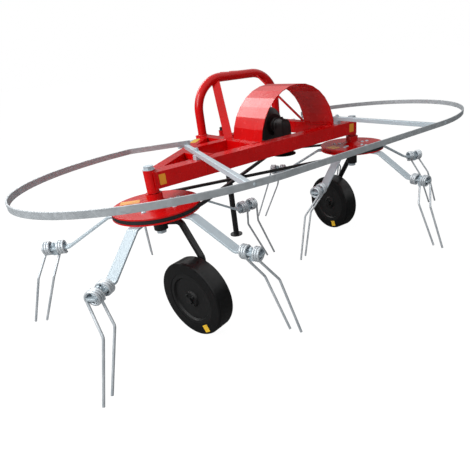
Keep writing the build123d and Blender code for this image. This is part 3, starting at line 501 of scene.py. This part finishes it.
def coil_turns(x_start, x_end, angle_start, angle_end, steps=52):
    """Points of a coil about the arm's line, evenly from one X and angle to the other."""
    points = []
    for i in range(steps + 1):
        t = i / steps
        across, lift = polar(COIL_RADIUS, angle_start + (angle_end - angle_start) * t)
        points.append(Vector((x_start + (x_end - x_start) * t, across, COIL_LEVEL + lift)))
    return points


def double_tine_wire():
    """One length of wire: tip, knee, outer coil, bridge under the arm, inner coil, knee, tip."""
    outer_start, inner_start = 443.5, 365.5
    knee_y, knee_level = 34, 267
    tip_y, tip_level = 28, 77
    bridge_level = COIL_LEVEL - 13.6
    length = COIL_PITCH * COIL_TURN / 360
    outer = coil_turns(outer_start, outer_start - length, 210, 210 - COIL_TURN)
    inner = coil_turns(inner_start, inner_start + length, -90, COIL_TURN - 90)
    outer_leg = tine_leg(outer[0], Vector((483, knee_y, knee_level)), Vector((557, tip_y, tip_level)))
    inner_leg = tine_leg(inner[-1], Vector((425, knee_y, knee_level)), Vector((513, tip_y, tip_level)))
    bridge = [Vector((413, 0, bridge_level + 1)), Vector((405, 0, bridge_level)),
              Vector((378, 0, bridge_level)), Vector((370, 0, bridge_level - 2))]
    return list(reversed(outer_leg))[:-1] + outer + bridge + inner + inner_leg[1:]


def spring_tines(side_name):
    """The double tines of one rotor, coiled and bent from round wire."""
    wire = double_tine_wire()
    work = bmesh.new()
    for arm in range(ARM_COUNT):
        sweep_wire(work, rotor_place(wire, side_name, arm), WIRE_RADIUS, 10)
    piece = finish_mesh(work, f"spring_tines_{side_name}", WIRE, f"rotor_{side_name}", 60)
    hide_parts(f"tines_{side_name}")


def rotor_arms(side_name):
    """Flat bars bent down from the disc; each narrows at its foot and ends flush with its outer coil."""
    inner, shoulder = Vector((45, 0, ARM_LEVEL)), Vector((176, 0, ARM_LEVEL))
    foot, tip = Vector((346, 0, COIL_LEVEL)), Vector((449, 0, COIL_LEVEL))
    line = [inner] + smooth_corner(inner, shoulder, foot, 26, 8) + smooth_corner(shoulder, foot, tip, 26, 8)
    line += [Vector((360, 0, COIL_LEVEL)), Vector((445, 0, COIL_LEVEL)), tip]
    half_widths = [20] * (len(line) - 3) + [17, 17, 14]
    work = bmesh.new()
    for arm in range(ARM_COUNT):
        rings = []
        for point, run, half_width in zip(line, directions(line), half_widths):
            up = Vector((-run.z, 0, run.x)) * ARM_HALF_THICKNESS
            half = Vector((0, half_width, 0))
            corners = [point + half + up, point - half + up, point - half - up, point + half - up]
            rings.append(rotor_place(corners, side_name, arm))
        skin_rings(work, rings)
    bmesh.ops.recalc_face_normals(work, faces=work.faces)
    piece = finish_mesh(work, f"rotor_arms_{side_name}", ZINC, f"rotor_{side_name}", 30, 0.9)
    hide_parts(f"arms_{side_name}")


def rotor_bolts(side_name):
    """Heads that hold the tines on the arms and the arms on the disc."""
    stud = [(0, 0), (5, 0), (5, 5), (4, 6), (0, 6)]
    dome = [(0, 0), (9, 0), (8.2, 2.4), (5, 4.4), (0, 5)]
    tine_bolt = [Vector((TINE_BOLT_RADIUS, 0, level)) for level in (373, 384)]
    work = bmesh.new()
    for arm in range(ARM_COUNT):
        seat, nut_top = rotor_place(tine_bolt, side_name, arm)
        hex_head(work, seat, UP, 17, 9, 12)
        lathe(work, stud, nut_top, UP, 16)
        for radius in (64, 92):
            disc_bolt = [Vector((radius, 0, level)) for level in (ARM_UNDER, DISC_TOP)]
            under, over = rotor_place(disc_bolt, side_name, arm)
            hex_head(work, under, DOWN, 15, 7, 11)
            lathe(work, dome, over, UP, 20)
    finish_mesh(work, f"rotor_bolts_{side_name}", ZINC, f"rotor_{side_name}", 30)


for side_name in SIDES:
    spring_tines(side_name)
    rotor_arms(side_name)
    rotor_bolts(side_name)


# Frame details

def bead_ripple(i):
    """Share of a bead's radius at its ring i: stacked ripples, a little uneven."""
    return 0.86 + 0.2 * abs(math.sin(i * 0.9)) + 0.05 * math.sin(i * 0.37)


def weld_bead(work, points, radius=3.2):
    """Weld bead along a joint, in steps of 1.6 mm."""
    line = []
    for a, b in zip(points, points[1:]):
        a, b = Vector(a), Vector(b)
        steps = max(2, int((b - a).length / 1.6))
        line += [a.lerp(b, i / steps) for i in range(steps)]
    line.append(Vector(points[-1]))
    sweep_wire(work, line, radius, 8, bead_ripple)


def ring_points(centre, radius, axis="z", steps=36, share=1.0, start=0.0):
    """Points round a centre, square to the axis, over a share of the full turn."""
    points = []
    for i in range(steps + 1):
        angle = math.radians(start) + 2 * math.pi * share * i / steps
        a, b = radius * math.cos(angle), radius * math.sin(angle)
        offset = {"z": (a, b, 0), "x": (0, a, b)}[axis]
        points.append(tuple(c + d for c, d in zip(centre, offset)))
    return points


def frame_welds():
    """Beads where the frame's tubes meet."""
    low, high = BEAM_TOP - 2 * BEAM_HALF + 1, BEAM_TOP - 1
    front, behind, corner = 0.5 - BEAM_HALF, BEAM_HALF + 1, BEAM_HALF + 0.5
    work = bmesh.new()
    # Hub tubes on the beam
    for side in (-1, 1):
        hub = side * AXIS_X
        x = hub - side * 15
        weld_bead(work, [(x, front, low), (x, front, high)], 2.2)
        weld_bead(work, ring_points((hub, 0, BEAM_TOP + 0.5), 22.5, "z", 30, 0.5, 90 * side))
    # Rails and stub behind the beam
    for x in (*RAILS_X, STUB_X):
        for edge in (x - RAIL_HALF, x + RAIL_HALF):
            weld_bead(work, [(edge, behind, low), (edge, behind, high)])
        weld_bead(work, [(x - RAIL_HALF, corner, BEAM_TOP), (x + RAIL_HALF, corner, BEAM_TOP)])
    # Hitch tube's feet on the rails
    for x in RAILS_X:
        weld_bead(work, ring_points((x, CROSSBAR_Y, BEAM_TOP + 1), 21.5), 3.6)
    # Middle crossbar at the left rail, and rear crossbar between the rails
    left, right = RAILS_X
    for x, y, level in ((left - RAIL_HALF - 0.5, MID_BAR_Y, BEAM_TOP),
                        (left + RAIL_HALF, CROSSBAR_Y, CROSSBAR_TOP),
                        (right - RAIL_HALF, CROSSBAR_Y, CROSSBAR_TOP)):
        weld_bead(work, [(x, y - RAIL_HALF, level), (x, y + RAIL_HALF, level)])
    # Lower link pins outside the rails
    for side in (-1, 1):
        weld_bead(work, ring_points((HITCH_X + side * 276.3, PIN_Y, PIN_LEVEL), 17.4, "x"))
    # Seams across the beam near its ends
    for x in (-345, 384):
        weld_bead(work, [(x, -BEAM_HALF, low), (x, -BEAM_HALF, BEAM_TOP), (x, BEAM_HALF, BEAM_TOP)], 1.8)
    # Stand's sleeve on the rear crossbar, and the top link's lugs
    for x in (STAND_X - 12, STAND_X + 12):
        weld_bead(work, [(x, 485.5, 546), (x, 485.5, CROSSBAR_TOP - 1)], 2.6)
    for dx in (-25, -35, 25, 35):
        weld_bead(work, [(HITCH_X + dx, 481.5, 853), (HITCH_X + dx, 481, 878)], 2.6)
    finish_mesh(work, "frame_welds", ENAMEL, "frame", 60)


def frame_bolts():
    """Zinc-plated fasteners on the frame."""
    low_dome = [(0, 0), (4.6, 0), (4.2, 1.4), (2.4, 2.4), (0, 2.6)]
    work = bmesh.new()
    # Struts on the beam
    for x, *_ in STRUTS.values():
        hex_head(work, (x, 0, STRUT_TOP + 0.2), UP, 13, 7, 10)
    # Gearbox plate
    for x in (HITCH_X - 55, HITCH_X + 55):
        for y in (60, 165):
            hex_head(work, (x, y, 566.2), UP, 17, 9, 12)
    # Strip on the struts
    for x, y in ((-520.5, -552.7), (437.3, -559.8)):
        lathe(work, low_dome, (x, y, (STRIP_LOW + STRIP_HIGH) / 2), FRONT, 20)
    finish_mesh(work, "frame_bolts", ZINC, "frame", 30)


frame_welds()
frame_bolts()


def splined_shaft():
    """Six-spline end of the input shaft, with its plain shoulder behind."""
    root, crest = 14.7, 17.4
    outline = []
    for tooth in range(6):
        for offset, radius in ((-15.5, root), (-13.5, crest), (13.5, crest), (15.5, root),
                               (22, root), (30, root), (38, root)):
            outline.append(polar(radius, 60 * tooth + offset))
    work = bmesh.new()
    rings = []
    for y, share in ((194, 1), (266, 1), (270, 0.9), (272, 0.82)):
        rings.append([(HITCH_X + a * share, y, SHAFT_LEVEL + b * share) for a, b in outline])
    skin_rings(work, rings, flip=True)
    shoulder = [(0, 0), (20, 0), (20, 54), (19, 55), (0, 55)]
    lathe(work, shoulder, (HITCH_X, 141, SHAFT_LEVEL), REAR, 40)
    piece = finish_mesh(work, "splined_shaft", STEEL, "pto_shaft", 35)
    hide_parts("pto_stub")


splined_shaft()


def bevel_gearbox():
    """Round-topped casting on a foot flange, with a ribbed neck for the input shaft and a filler plug."""
    levels = ((GEARBOX_SEAT, 0.97), (568, 1), (576, 1), (578, 0.97), (580, 0.86), (600, 0.82), (632, 0.81),
              (650, 0.76), (661, 0.66), (668, 0.5), (671, 0.3))
    outline = rounded_rectangle(35, 45, 12, 6)
    work = bmesh.new()
    rings = [[(HITCH_X + a * share, GEARBOX_Y + b * share, z) for a, b in outline] for z, share in levels]
    skin_rings(work, rings)
    neck = [(0, 0), (29, 0), (29, 14), (33, 16), (33, 20), (29, 22), (29, 34), (33.5, 36), (33.5, 54),
            (32.5, 55), (20.2, 55), (20.2, 6), (0, 6)]
    lathe(work, neck, (HITCH_X, 134.6, SHAFT_LEVEL), REAR, 40)
    plug_seat = (HITCH_X, 133, 669)
    lathe(work, [(0, 0), (9, 0), (9, 5), (0, 5)], plug_seat, UP, 24)
    lathe(work, [(0, 5), (6.5, 5), (6.5, 10), (5.8, 11), (0, 11)], plug_seat, UP, 6)
    for dx in (-27, 27):
        for dy in (-36, 36):
            hex_head(work, (HITCH_X + dx, GEARBOX_Y + dy, 577.8), UP, 9, 5, 6)
    piece = finish_mesh(work, "bevel_gearbox", IRON, "frame", 35)
    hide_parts("gearbox")


bevel_gearbox()


# Guard hoop

def hoop_line():
    """Plan points of the strip's outer face, from the left strut round the front to the right strut."""
    half_straight, middle_y, front_depth, steps = 391.0, -166.0, 395.0, 60
    # Each side's reach and rear depth of its half ellipse, the bend where it ends and the rear end
    ends = {-1: (634.0, 412.0, Vector((-520, 0, 0)), Vector((-296, 150, 0))),
            1: (585.0, 466.0, Vector((575, 0, 0)), Vector((440, 243, 0)))}
    halves = {}
    for side, (reach, rear_depth, bend, end) in ends.items():
        last = math.acos((abs(bend.x) - half_straight) / reach)
        points = []
        for i in range(steps + 1):
            angle = -math.pi / 2 + (last + math.pi / 2) * i / steps
            depth = front_depth if angle < 0 else rear_depth
            x = side * (half_straight + reach * math.cos(angle))
            points.append(Vector((x, middle_y + depth * math.sin(angle), 0)))
        corner = smooth_corner(points[-4], points[-1], end, 40, 6)
        halves[side] = points[:-3] + corner + [end]
    return list(reversed(halves[-1])) + halves[1]


def guard_strip():
    """Rolled flat strip on edge, with its corners broken, in one run round the tines."""
    low, high, thick, chamfer = STRIP_LOW, STRIP_HIGH, 5.0, 0.7
    section = [(0, low + chamfer), (0, high - chamfer), (chamfer, high), (thick - chamfer, high),
               (thick, high - chamfer), (thick, low + chamfer), (thick - chamfer, low), (chamfer, low)]
    line = hoop_line()
    work = bmesh.new()
    rings = []
    for point, run in zip(line, directions(line)):
        inward = Vector((-run.y, run.x, 0))
        rings.append([point + inward * depth + Vector((0, 0, z)) for depth, z in section])
    skin_rings(work, rings, flip=True)
    piece = finish_mesh(work, "guard_strip", STRIP, "frame", 30)
    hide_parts("guard_hoop")


guard_strip()


def guard_strut(side_name):
    """Square tube over the beam; its front end is pinched from below where it meets the strip."""
    x, angle, front_y, rear_y = STRUTS[side_name]
    half, pinch, pinch_length = 9.0, 13, 45
    slope = math.tan(math.radians(angle))
    run = Vector((slope, 1, 0)).normalized()
    across = Vector((run.y, -run.x, 0))
    places = ((front_y, STRUT_LOW + pinch), (front_y + pinch_length, STRUT_LOW), (rear_y, STRUT_LOW))
    rings = []
    for y, under in places:
        middle = Vector((x + y * slope, y, 0))
        section = ((-half, under), (half, under), (half, STRUT_TOP), (-half, STRUT_TOP))
        rings.append([middle + across * a + Vector((0, 0, z)) for a, z in section])
    work = bmesh.new()
    skin_rings(work, rings)
    bmesh.ops.recalc_face_normals(work, faces=work.faces)
    piece = finish_mesh(work, f"guard_strut_{side_name}", ZINC, "frame", 30, 1.5)
    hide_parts(f"hoop_strut_{side_name}")


for side_name in SIDES:
    guard_strut(side_name)


# Blank squares of vinyl

def vinyl_square(name, centre, normal, up, width, height, material, body):
    """Thin square with rounded corners, its back on the surface."""
    normal, up = Vector(normal).normalized(), Vector(up)
    up = (up - normal * up.dot(normal)).normalized()
    across = up.cross(normal)
    outline = rounded_rectangle(width / 2, height / 2, min(width, height) * 0.08, 3)
    centre = Vector(centre)
    rings = []
    for lift in (0.1, 0.45):
        rings.append([centre + across * a + up * b + normal * lift for a, b in outline])
    work = bmesh.new()
    skin_rings(work, rings)
    finish_mesh(work, name, material, body, 30)


vinyl_square("vinyl_beam_left", (-529, -BEAM_HALF, 586), FRONT, UP, 25, 38, ORANGE, "frame")
vinyl_square("vinyl_beam_right", (520, -BEAM_HALF, 586), FRONT, UP, 32, 40, ORANGE, "frame")
vinyl_square("vinyl_brace", (-152, 358, BEAM_TOP), UP, (0.72, 0.68, 0), 30, 90, YELLOW, "frame")
vinyl_square("vinyl_disc_left", (-618, 98, DISC_TOP), UP, (0.5, 0.87, 0), 72, 40, ORANGE, "rotor_left")
vinyl_square("vinyl_disc_right", (446, 26, DISC_TOP), UP, (0.2, 0.98, 0), 46, 60, YELLOW, "rotor_right")


# Wheels

# Each wheel's blank square: angle from the lowest point of the side, in degrees
WHEEL_SQUARES = {"left": -30, "right": -18}


def wheel_details(side_name):
    """Four heads round the hub on the wheel's outer face, and a blank square low on the tyre's side."""
    hub_face, bolt_circle = 35, 22.5
    tyre_face, square_radius = 37, 124
    body = f"wheel_{side_name}"
    row = next(j for j in frame["record"]["behaviour"]["joints"] if j["name"] == f"{body}_spin")
    axis = Vector(row["axis"])
    centre = Vector(row["pos_m"]) / MM + Vector((REACH_CENTRE, 0, 0))
    up = Vector(UP)
    across = axis.cross(up)
    work = bmesh.new()
    for k in range(4):
        angle = math.radians(45 + 90 * k)
        outward = across * math.cos(angle) + up * math.sin(angle)
        hex_head(work, centre + axis * hub_face + outward * bolt_circle, axis, 8, 4, 5)
    finish_mesh(work, f"wheel_bolts_{side_name}", BLACK, body, 30)
    angle = math.radians(WHEEL_SQUARES[side_name])
    outward = across * math.sin(angle) - up * math.cos(angle)
    seat = centre + axis * tyre_face + outward * square_radius
    vinyl_square(f"vinyl_wheel_{side_name}", seat, axis, outward, 28, 30, YELLOW, body)


for side_name in SIDES:
    wheel_details(side_name)


# Finishes of the solids: material and rounding of the edges

FINISHES = {
    "red_paint": (ENAMEL, 1.6), "zinc": (ZINC, 0.8), "galvanised": (STRIP, 0.6), "belt_rubber": (BELT, 0.8),
    "black_plastic": (PLASTIC, 1.0), "cast_housing": (IRON, 2.0), "black_paint": (BLACK, 0.8),
    "cast_pulley": (IRON, 0.8), "shaft_steel": (STEEL, 0.5), "spring_steel": (WIRE, 0.5),
    "tyre": (RUBBER, 1.5),
}
slots = {row["node"]: row["material_slot"] for row in frame["record"]["subparts"]}
for node_name, node in frame["nodes"].items():
    material, rounding = FINISHES[slots[node_name]]
    node.data.materials.clear()
    node.data.materials.append(material)
    soften(node, 32, rounding)


# Studio

def studio_floor():
    """Floor that looks white to the camera, lights as a pale one and shows darker in reflections."""
    material, tree = new_material("pale_floor")
    path = add(tree, "ShaderNodeLightPath")
    seen = path.outputs["Is Camera Ray"]
    share = add(tree, "ShaderNodeMath", {0: seen, 1: 0.9}, operation="MULTIPLY").outputs[0]
    shade = blend(tree, path.outputs["Is Glossy Ray"], linear("#E2E2E2"), linear("#6C6C6C"))
    matt = add(tree, "ShaderNodeBsdfDiffuse", {"Color": shade})
    white = add(tree, "ShaderNodeEmission", {"Color": (1, 1, 1, 1), "Strength": 1.08})
    mix = add(tree, "ShaderNodeMixShader", {0: share, 1: matt.outputs[0], 2: white.outputs[0]})
    add(tree, "ShaderNodeOutputMaterial", {"Surface": mix.outputs[0]})
    work = bmesh.new()
    bmesh.ops.create_grid(work, x_segments=1, y_segments=1, size=40)
    mesh = bpy.data.meshes.new("studio_floor")
    work.to_mesh(mesh)
    work.free()
    mesh.materials.append(material)
    floor = bpy.data.objects.new("studio_floor", mesh)
    bpy.context.scene.collection.objects.link(floor)


def studio_world():
    """White to the camera, dim as a light, and in reflections dark near the horizon and bright overhead."""
    world = bpy.data.worlds.new("white_studio")
    bpy.context.scene.world = world
    world.use_nodes = True
    tree = world.node_tree
    tree.nodes.clear()
    path = add(tree, "ShaderNodeLightPath")
    ways = add(tree, "ShaderNodeTexCoord")
    height = add(tree, "ShaderNodeSeparateXYZ", {"Vector": ways.outputs["Generated"]}).outputs["Z"]
    mirrored = spread(tree, height, 0.12, 0.5, 0.05, 0.95)
    plain = spread(tree, path.outputs["Is Camera Ray"], 0, 1, 0.42, 1.0)
    glossy = path.outputs["Is Glossy Ray"]
    kept = add(tree, "ShaderNodeMath", {0: 1.0, 1: glossy}, operation="SUBTRACT").outputs[0]
    first = add(tree, "ShaderNodeMath", {0: mirrored, 1: glossy}, operation="MULTIPLY").outputs[0]
    strength = add(tree, "ShaderNodeMath", {0: plain, 1: kept, 2: first}, operation="MULTIPLY_ADD")
    back = add(tree, "ShaderNodeBackground", {"Color": (1, 1, 1, 1), "Strength": strength.outputs[0]})
    add(tree, "ShaderNodeOutputWorld", {"Surface": back.outputs[0]})


def soft_lamp(name, place, aim, size, power):
    """Rectangular lamp at a place, turned to its aim; in metres and watts."""
    lamp = bpy.data.lights.new(name, "AREA")
    lamp.shape = "RECTANGLE"
    lamp.size, lamp.size_y = size
    lamp.energy = power
    holder = bpy.data.objects.new(name, lamp)
    bpy.context.scene.collection.objects.link(holder)
    holder.location = place
    holder.rotation_euler = (Vector(aim) - Vector(place)).to_track_quat("-Z", "Y").to_euler()


def photo_camera():
    """The photograph's viewpoint, in metres and degrees; its lens was fitted in pixels of the picture."""
    side_px, focal_px, centre_px = 470, 408.1, (269.7, 245.5)
    yaw, pitch, roll = math.radians(51.43), math.radians(25.02), math.radians(-5.48)
    ahead = Vector((math.cos(pitch) * math.cos(yaw), math.cos(pitch) * math.sin(yaw), -math.sin(pitch)))
    right = ahead.cross(Vector(UP)).normalized()
    up = right.cross(ahead)
    tilted_right = right * math.cos(roll) + up * math.sin(roll)
    tilted_up = up * math.cos(roll) - right * math.sin(roll)
    data = bpy.data.cameras.new("photo_camera")
    data.sensor_width = 36.0
    data.lens = focal_px / side_px * data.sensor_width
    data.shift_x = -(centre_px[0] - side_px / 2) / side_px
    data.shift_y = (centre_px[1] - side_px / 2) / side_px
    camera = bpy.data.objects.new("photo_camera", data)
    bpy.context.scene.collection.objects.link(camera)
    axes = Matrix((tilted_right, tilted_up, -ahead)).transposed().to_4x4()
    camera.matrix_world = Matrix.Translation((-1.142 - REACH_CENTRE * MM, -1.370, 0.954)) @ axes
    bpy.context.scene.camera = camera


studio_floor()
studio_world()
soft_lamp("key_light", (-3.0, -0.2, 2.4), (0, 0, 0.5), (2.4, 2.0), 90)
soft_lamp("back_light", (-0.6, 2.63, 2.69), (0, 0.06, 0.7), (2.6, 1.4), 62)
photo_camera()
bpy.context.scene.view_settings.view_transform = "Standard"
